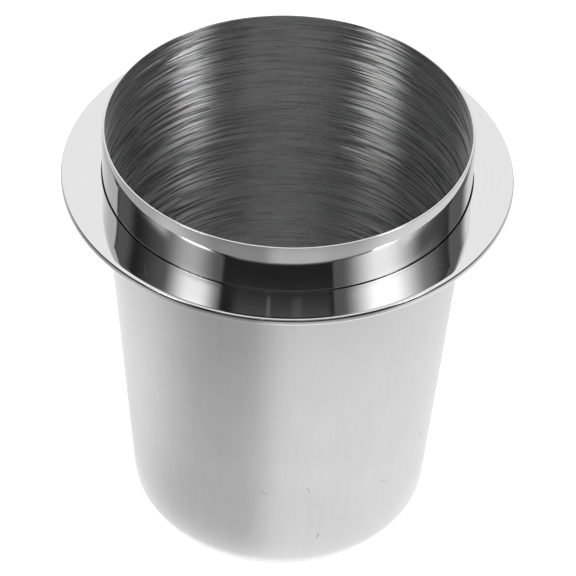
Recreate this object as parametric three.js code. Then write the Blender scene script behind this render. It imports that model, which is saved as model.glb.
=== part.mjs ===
// Coffee dosing cup: a deep-drawn stainless cup with a stamped ring welded round its neck.
// Millimetres, +Z up, origin on the resting surface under the middle of the base.
// Every piece is a surface of revolution about Z, lathed from its radial section.

import * as THREE from 'three';

// Cup shell
const COLLAR_RADIUS = 29; // straight neck that enters a 58 mm filter basket
const TOTAL_HEIGHT = 73.75;
const WALL = 0.5;
const BASE_RADIUS = 24.4; // tapered wall, produced down to the resting surface
const CORNER_RADIUS = 3; // outside radius between wall and base
const LEAD_IN_HEIGHT = 2; // band under the lip that narrows, so that the collar finds the basket
const LEAD_IN_DEPTH = 0.2;
const LIP_ROUNDING = 0.12; // broken edges of the rim

// Flange ring
const FLANGE_TOP = 65.5;
const FLANGE_THICKNESS = 1;
const FLANGE_RADIUS = 35.5;
const FLANGE_EDGE_ROUNDING = 0.12;

// Weld seam under the ring
const WELD_LEG = 1.4;
const WELD_CROWN = 0.12; // how far the bead's face bulges

const FIT_GAP = 0.3; // clearance between neighbouring solids

const TURN_SEGMENTS = 72;
const CORNER_STEPS = 6;
const EDGE_STEPS = 2;
const WELD_STEPS = 4;

const FLANGE_BOTTOM = FLANGE_TOP - FLANGE_THICKNESS;
const TAPER = Math.atan((COLLAR_RADIUS - BASE_RADIUS) / FLANGE_BOTTOM);

/** Points of an arc about (x, y), both ends included; angles in radians from +X. */
function arc(x, y, radius, from, to, steps) {
  return Array.from({ length: steps + 1 }, (_, i) => {
    const angle = from + ((to - from) * i) / steps;
    return new THREE.Vector2(x + radius * Math.cos(angle), y + radius * Math.sin(angle));
  });
}

/** Outside radius of the tapered wall at a height. */
function wallRadius(height) {
  return BASE_RADIUS + height * Math.tan(TAPER);
}

/** A solid of revolution about Z from a section of (radius, height) points. */
function turned(name, section, material) {
  const mesh = new THREE.Mesh(new THREE.LatheGeometry(section, TURN_SEGMENTS), material);
  mesh.name = name;
  mesh.rotation.x = Math.PI / 2;
  return mesh;
}

function cupShell() {
  const quarter = Math.PI / 2;
  const cornerX = wallRadius(CORNER_RADIUS) - CORNER_RADIUS / Math.cos(TAPER);
  const innerCollar = COLLAR_RADIUS - WALL;
  const innerCorner = CORNER_RADIUS - WALL;
  const lipRadius = COLLAR_RADIUS - LEAD_IN_DEPTH;
  const lipY = TOTAL_HEIGHT - LIP_ROUNDING;
  const section = [
    new THREE.Vector2(0, 0),
    ...arc(cornerX, CORNER_RADIUS, CORNER_RADIUS, -quarter, -TAPER, CORNER_STEPS),
    new THREE.Vector2(COLLAR_RADIUS, FLANGE_BOTTOM),
    new THREE.Vector2(COLLAR_RADIUS, TOTAL_HEIGHT - LEAD_IN_HEIGHT),
    ...arc(lipRadius - LIP_ROUNDING, lipY, LIP_ROUNDING, 0, quarter, EDGE_STEPS),
    ...arc(innerCollar + LIP_ROUNDING, lipY, LIP_ROUNDING, quarter, 2 * quarter, EDGE_STEPS),
    new THREE.Vector2(innerCollar, FLANGE_BOTTOM),
    ...arc(cornerX, CORNER_RADIUS, innerCorner, -TAPER, -quarter, CORNER_STEPS),
    new THREE.Vector2(0, WALL),
  ];
  const satinSteel = new THREE.MeshStandardMaterial({
    color: 0xc4c4c4,
    roughness: 0.38,
    metalness: 1,
  });
  return turned('cup_shell', section, satinSteel);
}

function flangeRing() {
  const bore = COLLAR_RADIUS + FIT_GAP;
  const quarter = Math.PI / 2;
  const edgeX = FLANGE_RADIUS - FLANGE_EDGE_ROUNDING;
  const lowY = FLANGE_BOTTOM + FLANGE_EDGE_ROUNDING;
  const highY = FLANGE_TOP - FLANGE_EDGE_ROUNDING;
  const section = [
    new THREE.Vector2(bore, FLANGE_BOTTOM),
    ...arc(edgeX, lowY, FLANGE_EDGE_ROUNDING, -quarter, 0, EDGE_STEPS),
    ...arc(edgeX, highY, FLANGE_EDGE_ROUNDING, 0, quarter, EDGE_STEPS),
    new THREE.Vector2(bore, FLANGE_TOP),
    new THREE.Vector2(bore, FLANGE_BOTTOM),
  ];
  const mirrorSteel = new THREE.MeshStandardMaterial({
    color: 0xd2d2d2,
    roughness: 0.08,
    metalness: 1,
  });
  return turned('flange_ring', section, mirrorSteel);
}

function weldSeam() {
  const top = FLANGE_BOTTOM - FIT_GAP;
  const low = top - WELD_LEG;
  const root = new THREE.Vector2(COLLAR_RADIUS + FIT_GAP, top);
  const toe = new THREE.Vector2(wallRadius(low) + FIT_GAP, low);
  const brim = new THREE.Vector2(COLLAR_RADIUS + FIT_GAP + WELD_LEG, top);
  const middle = toe.clone().lerp(brim, 0.5);
  middle.add(new THREE.Vector2(WELD_CROWN, -WELD_CROWN));
  const face = new THREE.QuadraticBezierCurve(toe, middle, brim).getPoints(WELD_STEPS);
  const weldSteel = new THREE.MeshStandardMaterial({
    color: 0xa8a8a8,
    roughness: 0.45,
    metalness: 1,
  });
  return turned('weld_seam', [root, ...face, root.clone()], weldSteel);
}

const dosingCup = new THREE.Group();
dosingCup.add(cupShell(), flangeRing(), weldSeam());

export default dosingCup;
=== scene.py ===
"""Coffee dosing cup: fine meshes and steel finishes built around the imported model."""

import math

import bpy
from mathutils import Matrix, Vector


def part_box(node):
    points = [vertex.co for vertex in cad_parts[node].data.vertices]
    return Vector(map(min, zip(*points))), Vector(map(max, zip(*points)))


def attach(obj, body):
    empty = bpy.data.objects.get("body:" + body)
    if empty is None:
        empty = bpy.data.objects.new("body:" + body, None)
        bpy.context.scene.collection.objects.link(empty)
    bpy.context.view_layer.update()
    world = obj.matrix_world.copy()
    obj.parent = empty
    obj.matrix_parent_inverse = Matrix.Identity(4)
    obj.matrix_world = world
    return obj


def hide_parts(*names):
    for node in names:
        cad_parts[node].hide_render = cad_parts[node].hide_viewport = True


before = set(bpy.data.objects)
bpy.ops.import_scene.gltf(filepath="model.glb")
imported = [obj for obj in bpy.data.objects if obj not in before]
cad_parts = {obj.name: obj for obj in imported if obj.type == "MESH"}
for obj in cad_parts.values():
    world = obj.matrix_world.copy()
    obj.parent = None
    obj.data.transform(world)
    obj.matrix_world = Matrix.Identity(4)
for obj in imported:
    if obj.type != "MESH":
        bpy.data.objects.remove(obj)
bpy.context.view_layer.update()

MM = 0.001

# ---------------------------------------------------------------- sizes

shell_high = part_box("cup_shell")[1]
ring_low, ring_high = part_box("flange_ring")
weld_low, weld_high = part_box("weld_seam")

HEIGHT = shell_high.z
COLLAR_R = shell_high.x
RING_R = ring_high.x
RING_TOP = ring_high.z
RING_BOTTOM = ring_low.z

WALL = 0.5 * MM
FOOT_R = 24.4 * MM  # the tapered wall, produced down to the resting surface
CORNER_R = 3.0 * MM
LEAD_IN = 2.0 * MM  # height of the band under the lip that narrows
LEAD_IN_LEAN = (1.5, 10.0)  # how far its face tips up at the bottom and the top, in degrees
LIP_ROUND = 0.06 * MM
RING_ROUND = 0.10 * MM
RING_EDGE_LEAN = (-8.0, 28.0)  # the rolled outer edge, in the same way
RING_ROLL = 3.0 * MM  # the face falls off towards the outer edge along an arc of this radius
RING_ROLL_END = 8.0  # its slope where it meets the edge, in degrees
BORE_ROUND = 0.08 * MM
RING_GAP = 0.12 * MM  # the dark line between ring and collar
RING_DISH = 0.13 * MM  # how far the pressing left the ring's inner edge below its rim

CREASE = 0.02 * MM  # the wall's last point under the lead-in keeps the crease crisp

WELD_SAG = 0.1 * MM  # moves the middle control point of the bead's face, outward and down
WELD_OVERLAP = 0.02 * MM  # how far its root reaches into the wall
WELD_RIPPLES = 140  # round the whole bead
WELD_RIPPLE_DEPTH = 0.10 * MM

TURN = 256  # steps round the axis
ON_AXIS = 1e-9  # a smaller radius is a point on the axis

FLOOR_R = 3.0
FLOOR_STEPS = 64
FLOOR_DROP = 0.05 * MM  # keeps the floor clear of the base, which would lie in the same plane

CAMERA_PLACE = (0.0, -356.0, 359.0)  # in mm, like the point it looks at
CAMERA_AIM = (0.66, 0.0, 40.2)
CAMERA_ROLL = 1.87  # degrees
CAMERA_LENS = 184.2  # mm, on a sensor 36 mm wide


# ---------------------------------------------------------------- meshes


def arc(x, y, radius, start, end, steps):
    """Points of an arc in the (radius, height) section; angles in degrees from outward."""
    angles = [math.radians(start + (end - start) * i / steps) for i in range(steps + 1)]
    return [(x + radius * math.cos(a), y + radius * math.sin(a)) for a in angles]


def line(start, end, steps):
    """Points from start to end, without either of them."""
    dx, dy = end[0] - start[0], end[1] - start[1]
    return [(start[0] + dx * i / steps, start[1] + dy * i / steps) for i in range(1, steps)]


def tangent_arc(start, radius, angle, end, steps):
    """The arc that leaves start where the normal is at angle, and turns to end."""
    a = math.radians(angle)
    centre = (start[0] - radius * math.cos(a), start[1] - radius * math.sin(a))
    return arc(centre[0], centre[1], radius, angle, end, steps)


def crowned(x, low, high, lean, low_round, high_round, last=90):
    """A bulging face from height low to high that reaches out to radius x, its edges rounded.

    lean has the angles of its normal at the bottom and at the top, and last is the angle where
    the upper rounding ends, in degrees up from outward."""
    low_sine, high_sine = (math.sin(math.radians(angle)) for angle in lean)
    start = low + low_round * (1 + low_sine)
    end = high - high_round * (math.sin(math.radians(last)) - high_sine)
    radius = (end - start) / (high_sine - low_sine)
    centre_x = x - radius * math.cos(math.radians(max(lean[0], 0)))
    face = arc(centre_x, start - radius * low_sine, radius, lean[0], lean[1], 10)

    bottom = tangent_arc(face[0], low_round, lean[0], -90, 6)[::-1]
    top = tangent_arc(face[-1], high_round, lean[1], last, 6)
    return (bottom[:-1] if low_round else []) + face + top[1:]


def section_normals(points, closed):
    """Outward normals of a section that runs anticlockwise."""
    count = len(points)
    normals = []
    for i in range(count):
        before = points[i - 1] if i > 0 or closed else points[i]
        after = points[(i + 1) % count] if i < count - 1 or closed else points[i]
        step = (after[0] - before[0], after[1] - before[1])
        length = math.hypot(*step)
        normals.append((step[1] / length, -step[0] / length))
    return normals


def turned(name, parts, closed=False, ripple=None):
    """A mesh turned round Z from parts of (zone, points); zone is the material's number.

    ripple(angle, radius, height) gives a point's new radius and height."""
    points = [p for _, part in parts for p in part]
    zone_of = [zone for zone, part in parts for _ in part]
    flat_normals = section_normals(points, closed)
    vertices, normals, rings = [], [], []
    for (radius, height), (out, up) in zip(points, flat_normals):
        if radius < ON_AXIS:
            rings.append([len(vertices)] * TURN)
            vertices.append((0.0, 0.0, height))
            normals.append((0.0, 0.0, math.copysign(1.0, up)))
            continue
        rings.append(list(range(len(vertices), len(vertices) + TURN)))
        for i in range(TURN):
            angle = 2 * math.pi * i / TURN
            c, s = math.cos(angle), math.sin(angle)
            r, z = ripple(angle, radius, height) if ripple else (radius, height)
            vertices.append((r * c, r * s, z))
            normals.append((out * c, out * s, up))
    pairs = [(i, i + 1) for i in range(len(rings) - 1)]
    if closed:
        pairs.append((len(rings) - 1, 0))
    faces, zones = [], []
    for low, high in pairs:
        for i in range(TURN):
            j = (i + 1) % TURN
            corners = [rings[low][i], rings[low][j], rings[high][j], rings[high][i]]
            faces.append(list(dict.fromkeys(corners)))
            zones.append(zone_of[low])
    mesh = bpy.data.meshes.new(name)
    mesh.from_pydata(vertices, [], faces)
    mesh.polygons.foreach_set("material_index", zones)
    mesh.polygons.foreach_set("use_smooth", [True] * len(faces))
    if not ripple:
        mesh.normals_split_custom_set_from_vertices(normals)
    piece = bpy.data.objects.new(name, mesh)
    bpy.context.scene.collection.objects.link(piece)
    return piece


def wall_radius(height):
    """Outside radius of the tapered wall."""
    return FOOT_R + (COLLAR_R - FOOT_R) * height / RING_BOTTOM


def make_cup():
    """The drawn cup, from the middle of its underside up the outside and down the inside."""
    taper = math.degrees(math.atan((COLLAR_R - FOOT_R) / RING_BOTTOM))
    corner_x = wall_radius(CORNER_R) - CORNER_R / math.cos(math.radians(taper))
    inner_collar = COLLAR_R - WALL
    corner = arc(corner_x, CORNER_R, CORNER_R, -90, -taper, 14)
    neck = (COLLAR_R, RING_BOTTOM)
    lead_in = crowned(COLLAR_R, HEIGHT - LEAD_IN, HEIGHT, LEAD_IN_LEAN, 0, LIP_ROUND)
    under_lead_in = (COLLAR_R, HEIGHT - LEAD_IN - CREASE)
    lip_in = arc(inner_collar + LIP_ROUND, HEIGHT - LIP_ROUND, LIP_ROUND, 90, 180, 6)
    inner_neck = (inner_collar, RING_BOTTOM)
    inner_corner = arc(corner_x, CORNER_R, CORNER_R - WALL, -taper, -90, 12)
    satin, polished, brushed = 0, 1, 2
    return turned(
        "drawn_cup",
        [
            (satin, [(0, 0)] + line((0, 0), corner[0], 4)),
            (satin, corner),
            (satin, line(corner[-1], neck, 12)),
            (polished, [neck] + line(neck, under_lead_in, 6) + [under_lead_in]),
            (polished, lead_in + lip_in[:-1]),
            (brushed, lip_in[-1:] + line(lip_in[-1], inner_neck, 6)),
            (brushed, [inner_neck] + line(inner_neck, inner_corner[0], 12)),
            (brushed, inner_corner + line(inner_corner[-1], (0, WALL), 4) + [(0, WALL)]),
        ],
    )


def make_ring():
    """The stamped ring: flat below, slightly dished above, its outer edge rolled over."""
    bore = COLLAR_R + RING_GAP
    bore_x = bore + BORE_ROUND
    roll_start = 90 - RING_ROLL_END
    edge_top = RING_TOP - RING_ROLL * (1 - math.sin(math.radians(roll_start)))
    rim = crowned(
        RING_R, RING_BOTTOM, edge_top, RING_EDGE_LEAN, RING_ROUND, RING_ROUND, last=roll_start
    )
    dish_slope = math.degrees(math.atan(2 * RING_DISH / (RING_R - bore)))
    roll = tangent_arc(rim[-1], RING_ROLL, roll_start, 90 + dish_slope, 10)
    roll_x, roll_y = roll[-1]
    high_bore = arc(bore_x, roll_y - RING_DISH - BORE_ROUND, BORE_ROUND, 90, 180, 5)
    low_bore = arc(bore_x, RING_BOTTOM + BORE_ROUND, BORE_ROUND, 180, 270, 5)
    face = [
        (roll_x + (bore_x - roll_x) * t, roll_y - RING_DISH * (1 - (1 - t) ** 2))
        for t in [i / 24 for i in range(1, 24)]
    ]
    return turned(
        "polished_ring",
        [
            (0, low_bore + line(low_bore[-1], rim[0], 8)),
            (0, rim + roll[1:]),
            (0, face + high_bore),
        ],
        closed=True,
    )


def make_weld():
    """The fillet bead under the ring, rippled round its outer side."""
    leg = weld_high.x - COLLAR_R
    low = weld_low.z
    toe = (wall_radius(low), low)
    brim = (COLLAR_R + leg, RING_BOTTOM)
    middle = ((toe[0] + brim[0]) / 2 + WELD_SAG, (toe[1] + brim[1]) / 2 - WELD_SAG)
    face = [
        tuple(
            (1 - t) ** 2 * a + 2 * t * (1 - t) * m + t * t * b
            for a, m, b in zip(toe, middle, brim)
        )
        for t in [i / 8 for i in range(9)]
    ]
    root = (COLLAR_R - WELD_OVERLAP, RING_BOTTOM)

    def scallops(angle, radius, height):
        outward = max(0.0, (radius - COLLAR_R) / leg)
        wave = abs(math.sin(angle * (WELD_RIPPLES / 2)))
        return radius - WELD_RIPPLE_DEPTH * wave * outward, height

    return turned("weld_bead", [(0, [root] + face)], closed=True, ripple=scallops)


# ---------------------------------------------------------------- node graphs


class Graph:
    """Short names for building a node tree."""

    def __init__(self, tree):
        self.tree = tree

    def node(self, kind, **settings):
        made = self.tree.nodes.new(kind)
        for key, value in settings.items():
            setattr(made, key, value)
        return made

    def feed(self, socket, value):
        """Link a socket to an output, or give it a number."""
        if isinstance(value, bpy.types.NodeSocket):
            self.tree.links.new(value, socket)
        else:
            socket.default_value = value

    def math(self, operation, *values):
        made = self.node("ShaderNodeMath", operation=operation)
        for socket, value in zip(made.inputs, values):
            self.feed(socket, value)
        return made.outputs[0]

    def sum(self, *values):
        total = values[0]
        for value in values[1:]:
            total = self.math("ADD", total, value)
        return total

    def product(self, *values):
        total = values[0]
        for value in values[1:]:
            total = self.math("MULTIPLY", total, value)
        return total

    def step(self, value, low, high, to_low=0.0, to_high=1.0):
        """A smooth step from to_low to to_high as value goes from low to high."""
        made = self.node("ShaderNodeMapRange", interpolation_type="SMOOTHSTEP")
        for socket, number in zip(made.inputs, (value, low, high, to_low, to_high)):
            self.feed(socket, number)
        return made.outputs["Result"]

    def hump(self, value, start, top_start, top_end, end, strength=1.0):
        """Rises from start to top_start, falls from top_end to end."""
        rise = self.step(value, start, top_start)
        fall = self.step(value, top_end, end, 1.0, 0.0)
        return self.product(rise, fall, strength)

    def split(self, vector):
        made = self.node("ShaderNodeSeparateXYZ")
        self.feed(made.inputs[0], vector)
        return made.outputs

    def combine(self, x, y, z):
        made = self.node("ShaderNodeCombineXYZ")
        for socket, value in zip(made.inputs, (x, y, z)):
            self.feed(socket, value)
        return made.outputs[0]

    def azimuth(self, x, y):
        """Degrees round from the front: positive to the right, 180 behind."""
        return self.math("DEGREES", self.math("ARCTAN2", x, self.math("MULTIPLY", y, -1.0)))

    def distance(self, x, y):
        """Distance from the axis."""
        return self.math("SQRT", self.sum(self.product(x, x), self.product(y, y)))

    def mix(self, share, at_none, at_all):
        """A number that goes from at_none to at_all as share goes from 0 to 1."""
        made = self.node("ShaderNodeMix", data_type="FLOAT")
        self.feed(made.inputs[0], share)
        self.feed(made.inputs[2], at_none)
        self.feed(made.inputs[3], at_all)
        return made.outputs[0]


class Finish(Graph):
    """A metal under construction: a Principled shader and the nodes that feed it."""

    def __init__(self, name, anisotropy=0.0):
        self.material = bpy.data.materials.new(name)
        self.material.use_nodes = True
        super().__init__(self.material.node_tree)
        self.shader = self.tree.nodes["Principled BSDF"].inputs
        self.shader["Metallic"].default_value = 1.0
        self.place = self.node("ShaderNodeTexCoord").outputs["Object"]
        if anisotropy:
            around = self.node("ShaderNodeTangent", direction_type="RADIAL", axis="Z")
            self.shader["Anisotropic"].default_value = anisotropy
            self.feed(self.shader["Tangent"], around.outputs[0])

    def vector_math(self, operation, *vectors):
        made = self.node("ShaderNodeVectorMath", operation=operation)
        for socket, vector in zip(made.inputs, vectors):
            self.feed(socket, vector)
        return made.outputs

    def moved(self, seed):
        """The place shifted by the seed, so that two patterns of a kind don't coincide."""
        return self.vector_math("ADD", self.place, (seed * MM, seed * MM, seed * MM))[0]

    def noise(self, vector, scale, detail):
        made = self.node("ShaderNodeTexNoise")
        for socket, value in (("Vector", vector), ("Scale", scale), ("Detail", detail)):
            self.feed(made.inputs[socket], value)
        return made.outputs[0]

    def grain(self, size, detail=2.0, seed=0.0):
        """Even noise from 0 to 1 with cells of the given size."""
        return self.noise(self.moved(seed), 1 / size, detail)

    def strokes(self, length, width, detail=1.0, seed=0.0):
        """Noise from 0 to 1 drawn out round the axis: cells length round it, width across."""
        x, y, z = self.split(self.place)
        down = self.math("SUBTRACT", z, self.distance(x, y))  # works on walls and on the base
        across = self.sum(self.product(down, 1 / width), seed)
        stretched = self.combine(self.product(x, 1 / length), self.product(y, 1 / length), across)
        return self.noise(stretched, 1.0, detail)

    def scratches(self, spacing, length, width, share, seed=0.0):
        """Short straight scratches, at most one to a cell: thin slices of planes through it."""
        place = self.moved(seed)
        cells = self.node("ShaderNodeTexVoronoi")
        self.feed(cells.inputs["Vector"], place)
        self.feed(cells.inputs["Scale"], 1 / spacing)
        middle = cells.outputs["Position"]
        random = self.node("ShaderNodeTexWhiteNoise", noise_dimensions="3D")
        self.feed(random.inputs["Vector"], middle)
        offset = self.vector_math("SUBTRACT", place, middle)[0]
        plane = self.vector_math("SUBTRACT", random.outputs["Color"], (0.5, 0.5, 0.5))[0]
        plane = self.vector_math("NORMALIZE", plane)[0]
        across = self.math("ABSOLUTE", self.vector_math("DOT_PRODUCT", offset, plane)["Value"])
        along = self.vector_math("LENGTH", offset)["Value"]
        return self.product(
            self.step(across, 0.0, width, 1.0, 0.0),
            self.step(along, length * 0.3, length * 0.5, 1.0, 0.0),
            self.step(random.outputs["Value"], share, share + 0.01, 1.0, 0.0),
        )

    def colour(self, grey):
        """Give the metal a grey tint from 0 to 1."""
        self.feed(self.shader["Base Color"], self.combine(grey, grey, grey))

    def roughness(self, value):
        self.feed(self.shader["Roughness"], value)

    def relief(self, *layers):
        """Bump from (height from 0 to 1, depth in metres) layers."""
        heights = [self.product(height, depth) for height, depth in layers]
        made = self.node("ShaderNodeBump")
        made.inputs["Distance"].default_value = 1.0
        self.feed(made.inputs["Height"], self.sum(*heights))
        self.feed(self.shader["Normal"], made.outputs[0])


# ---------------------------------------------------------------- materials


def satin_steel():
    """Bead-blasted outside of the body: even and soft, with a few handling marks."""
    f = Finish("satin_steel")
    cloud = f.grain(7 * MM, 3.0)
    pits = f.grain(0.16 * MM, 2.0)
    stretch = (1 / (1.1 * MM), 1 / (1.1 * MM), 1 / (14 * MM))
    drawn = f.noise(f.vector_math("MULTIPLY", f.place, stretch)[0], 1.0, 2.0)
    z = f.split(f.place)[2]
    low_wall = f.step(z, 22 * MM, 30 * MM, 1.0, 0.0)
    marks = f.product(f.scratches(5 * MM, 2.0 * MM, 0.10 * MM, 0.30, seed=3), low_wall)
    rubbed = f.step(z, 0.0, 2.2 * MM, 1.0, 0.0)
    f.colour(
        f.sum(
            0.43,
            f.product(cloud, 0.05),
            f.product(pits, 0.03),
            f.product(drawn, 0.05),
            f.product(marks, -0.25),
        )
    )
    f.roughness(
        f.sum(
            0.32,
            f.product(cloud, 0.04),
            f.product(pits, 0.04),
            f.product(drawn, 0.05),
            f.product(rubbed, -0.06),
        )
    )
    f.relief((pits, 0.004 * MM), (drawn, 0.004 * MM), (marks, -0.006 * MM))
    return f.material


def polished_steel():
    """Collar and lip: buffed bright on a lathe, with fine lines left round it."""
    f = Finish("polished_steel")
    lines = f.strokes(12 * MM, 0.12 * MM, 2.0)
    bands = f.strokes(40 * MM, 0.9 * MM, 1.0, seed=7.3)
    smears = f.grain(9 * MM, 2.0, seed=21)
    f.colour(f.sum(0.585, f.product(lines, 0.05), f.product(bands, 0.04)))
    f.roughness(f.sum(0.032, f.product(lines, 0.04), f.product(f.step(smears, 0.5, 0.75), 0.02)))
    f.relief((lines, 0.0003 * MM), (bands, 0.0008 * MM))
    return f.material


def brushed_steel():
    """Inside of the cup: coarse turned brushing, strokes of many lengths and depths."""
    f = Finish("brushed_steel", anisotropy=1.0)
    broad = f.strokes(18 * MM, 0.90 * MM, 1.0, seed=0.4)
    middle = f.strokes(12 * MM, 0.32 * MM, 1.0, seed=3.7)
    fine = f.strokes(10 * MM, 0.22 * MM, 1.0, seed=9.1)
    drift = f.strokes(9 * MM, 0.40 * MM, 1.0, seed=5.5)
    middle_cuts = f.step(middle, 0.44, 0.80)
    fine_cuts = f.step(fine, 0.44, 0.80)
    # painted light: the inside's colour is made lighter towards the bottom, to lift the shade
    # deep in the cup
    painted_light_low = f.step(f.split(f.place)[2], 15 * MM, 60 * MM, 0.06, 0.0)
    f.colour(
        f.sum(0.42, painted_light_low, f.product(broad, 0.08), f.product(middle, 0.11), f.product(fine, 0.11))
    )
    f.roughness(
        f.sum(
            0.17,
            f.product(broad, 0.08),
            f.product(middle_cuts, 0.28),
            f.product(fine_cuts, 0.34),
        )
    )
    turn = f.sum(0.20, f.product(drift, 0.05), f.product(fine, 0.05))
    f.feed(f.shader["Anisotropic Rotation"], turn)
    f.relief((broad, 0.0015 * MM), (middle, 0.0015 * MM))
    return f.material


def mirror_steel():
    """Flange ring: mirror polish with faint hairlines and a little haze from handling."""
    f = Finish("mirror_steel")
    lines = f.strokes(20 * MM, 0.10 * MM, 2.0, seed=2.2)
    haze = f.step(f.grain(8 * MM, 3.0, seed=33), 0.5, 0.8)
    marks = f.scratches(5 * MM, 3.5 * MM, 0.05 * MM, 0.40, seed=12)
    f.colour(f.sum(0.635, f.product(lines, 0.03), f.product(marks, -0.08)))
    f.roughness(
        f.sum(0.028, f.product(lines, 0.02), f.product(haze, 0.03), f.product(marks, 0.2))
    )
    f.relief((lines, 0.00012 * MM), (marks, -0.001 * MM))
    return f.material


def weld_steel():
    """Weld bead: dull scaly grey, its tone and roughness varying at random in scales and grit."""
    f = Finish("weld_steel")
    scale = f.grain(0.8 * MM, 3.0)
    grit = f.grain(0.12 * MM, 2.0, seed=4)
    f.colour(f.sum(0.34, f.product(scale, 0.22), f.product(grit, 0.06)))
    f.roughness(f.sum(0.30, f.product(scale, 0.20), f.product(grit, 0.10)))
    f.relief((scale, 0.02 * MM), (grit, 0.008 * MM))
    return f.material


# ---------------------------------------------------------------- the object

cup = make_cup()
ring = make_ring()
weld = make_weld()

for material in (satin_steel(), polished_steel(), brushed_steel()):
    cup.data.materials.append(material)
ring.data.materials.append(mirror_steel())
weld.data.materials.append(weld_steel())

for piece, node, slot in (
    (cup, "cup_shell", "satin_steel"),
    (ring, "flange_ring", "mirror_steel"),
    (weld, "weld_seam", "weld_steel"),
):
    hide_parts(node)
    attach(piece, "root")

# ---------------------------------------------------------------- stage

# To the eye the floor and the sky are plain and white. Only reflected rays, which are how the
# steel sees them, meet a studio of bright and dark areas on the table and all round. The areas
# are set so that the steel's bands fall where they do on the photographed cup. They are
# given in degrees: side is the azimuth from the front, height is the elevation. A hump's last
# number is its strength.


def make_floor():
    """A round white sheet to the eye, and the lit table in the steel's reflections."""
    angles = [2 * math.pi * i / FLOOR_STEPS for i in range(FLOOR_STEPS)]
    rim = [(FLOOR_R * math.cos(a), FLOOR_R * math.sin(a), -FLOOR_DROP) for a in angles]
    mesh = bpy.data.meshes.new("floor")
    mesh.from_pydata(rim, [], [list(range(FLOOR_STEPS))])
    floor = bpy.data.objects.new("floor", mesh)
    bpy.context.scene.collection.objects.link(floor)

    material = bpy.data.materials.new("floor")
    material.use_nodes = True
    g = Graph(material.node_tree)
    g.tree.nodes.clear()
    paper = g.node("ShaderNodeBsdfDiffuse")
    paper.inputs["Color"].default_value = (0.9, 0.9, 0.9, 1)
    x, y, _ = g.split(g.node("ShaderNodeTexCoord").outputs["Object"])
    side = g.azimuth(x, y)
    distance = g.distance(x, y)

    # near: the part that the body mirrors, dim at the front left and bright at the cup's foot
    dim_front_left = g.hump(side, -94, -42, -17, 3, -1.0)
    dimming = g.sum(
        g.step(distance, 25 * MM, 31 * MM, 0.12, 0.48),
        g.step(distance, 31 * MM, 100 * MM, 0.0, 0.44),
    )
    glow_at_foot = g.step(distance, 23 * MM, 28.5 * MM, 0.35, 0.0)
    shade = g.product(
        g.hump(distance, 26 * MM, 30 * MM, 34 * MM, 48 * MM, -0.10),
        g.step(side, 10, 50, 1.0, 0.0),
    )
    back_left = g.step(side, -140, -105, 0.35, 0.0)
    near = g.sum(1.36, g.product(dim_front_left, dimming), glow_at_foot, shade, back_left)

    # far: the part that the lead-in band under the lip mirrors
    far_tone = g.sum(
        0.52,
        g.step(side, -130, -96, 0.25, 0.0),
        g.hump(side, -80, -66, -62, -50, 0.18),
        g.hump(side, -52, -36, -12, -2, -0.18),
        g.hump(side, -14, -4, 14, 28, 0.10),
        g.hump(side, 34, 60, 150, 180, 0.40),
    )
    fall = g.step(distance, 105 * MM, 260 * MM, 1.08, 0.85)
    horizon = g.step(distance, 260 * MM, 420 * MM, 1.0, 0.15)
    far = g.product(far_tone, fall, horizon)
    outward = g.step(distance, 84 * MM, 102 * MM)

    lit = g.node("ShaderNodeEmission")
    g.feed(lit.inputs["Strength"], g.mix(outward, near, far))
    both = g.node("ShaderNodeMixShader")
    mirrored = g.node("ShaderNodeLightPath").outputs["Is Glossy Ray"]
    for socket, value in zip(both.inputs, (mirrored, paper.outputs[0], lit.outputs[0])):
        g.feed(socket, value)
    g.feed(g.node("ShaderNodeOutputMaterial").inputs["Surface"], both.outputs[0])
    mesh.materials.append(material)


def make_camera():
    """Above and in front of the cup, slightly rolled, with a long lens."""
    place = Vector(CAMERA_PLACE) * MM
    aim = Vector(CAMERA_AIM) * MM
    roll = Matrix.Rotation(math.radians(CAMERA_ROLL), 3, "Z")
    camera = bpy.data.objects.new("camera", bpy.data.cameras.new("camera"))
    bpy.context.scene.collection.objects.link(camera)
    camera.data.sensor_width = 36
    camera.data.lens = CAMERA_LENS
    camera.data.clip_start = 0.01
    camera.data.clip_end = 20
    turn = (aim - place).to_track_quat("-Z", "Y").to_matrix() @ roll
    camera.matrix_world = Matrix.Translation(place) @ turn.to_4x4()
    bpy.context.scene.camera = camera


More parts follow.
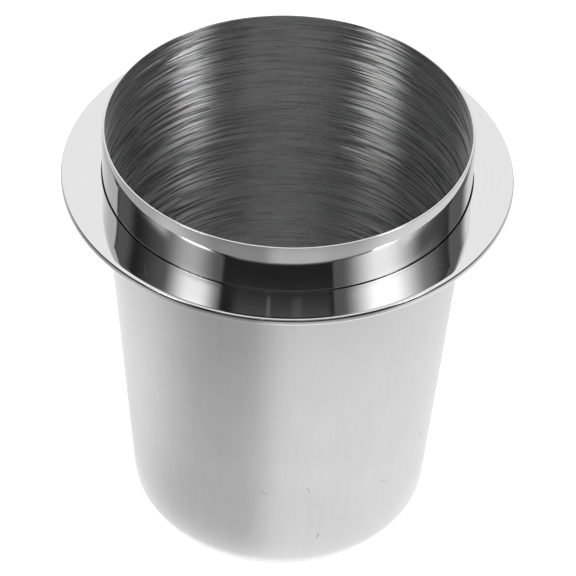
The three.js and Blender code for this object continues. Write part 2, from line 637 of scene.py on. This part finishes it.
def make_world():
    """White sky to the eye, and the studio in the steel's reflections."""
    world = bpy.data.worlds.new("studio")
    bpy.context.scene.world = world
    world.use_nodes = True
    g = Graph(world.node_tree)
    x, y, z = g.split(g.node("ShaderNodeTexCoord").outputs["Generated"])
    side = g.azimuth(x, y)
    height = g.math("DEGREES", g.math("ARCSINE", z))

    # a soft box on each side of a dark gap at the front, for the collar and the ring
    left_low = g.hump(side, -80, -60, -54, -38, 1.75)
    left_high = g.hump(side, -84, -62, -61, -42, 0.68)
    right_low = g.sum(
        g.hump(side, 36, 61, 64, 98, 2.3),
        g.hump(side, 50, 75, 85, 118, 0.35),
    )
    right_high = g.hump(side, 36, 62, 66, 97, 1.75)
    edges = g.sum(
        g.hump(side, -108, -72, -41, -37.5, 0.17),
        g.hump(side, 30.5, 31.5, 85, 135, 0.16),
    )
    low_part = g.hump(height, 34, 37, 40.8, 41.9)
    high_part = g.hump(height, 40.8, 41.9, 52, 60)

    # their bright cores, below what the collar mirrors. The inside of the cup is hollow, so its
    # left band mirrors the right core and its right band the left one
    cores = g.sum(
        g.hump(side, -68, -57, -53, -41, 8.6),
        g.hump(side, 50, 59, 63, 75, 10.5),
    )
    lower = g.hump(height, 6, 16, 31, 38)
    boxes = g.sum(
        g.product(g.sum(left_low, right_low), low_part),
        g.product(g.sum(left_high, right_high), high_part),
        g.product(edges, g.hump(height, 34, 37, 52, 60)),
        g.product(cores, lower),
    )

    # a white wall behind, for the ring's upper face
    behind_left = g.sum(
        g.step(side, -131.5, -130, 0.84, 0.0),
        g.step(side, -168, -140, 0.33, 0.0),
        g.hump(side, -131, -127, -118, -106, 0.14),
    )
    behind_right = g.sum(
        g.step(side, 121, 124, 0.0, 0.16),
        g.step(side, 138, 154, 0.0, 1.0),
    )
    behind = g.product(g.sum(behind_left, behind_right), g.step(height, 60, 75, 1.0, 0.0))

    # two faint upright lines in the dark gap, and faint light at the sides, low and overhead
    stands = g.product(
        g.sum(
            g.hump(side, -10.5, -9.6, -8.6, -7.6, 0.14),
            g.hump(side, 5, 6, 10.5, 11.5, 0.05),
        ),
        g.step(height, 40.6, 41.4, 1.0, 0.0),
    )
    high_sides = g.product(
        g.hump(g.math("ABSOLUTE", side), 76, 86, 125, 135, 0.8),
        g.hump(height, 43.5, 45, 50, 53),
    )
    low_front = g.product(g.hump(side, -34, -26, 26, 31), g.hump(height, 4, 12, 20, 45, 0.44))
    overhead = g.step(height, 66, 80, 0.0, 0.80)
    everywhere = 0.03
    studio = g.sum(everywhere, boxes, behind, high_sides, overhead, low_front, stands)

    to_the_eye = 2.6
    reflected = g.node("ShaderNodeLightPath").outputs["Is Glossy Ray"]
    background = g.tree.nodes["Background"].inputs
    background["Color"].default_value = (1, 1, 1, 1)
    g.feed(background["Strength"], g.mix(reflected, to_the_eye, studio))


make_floor()
make_camera()
make_world()
bpy.context.scene.view_settings.view_transform = "Standard"
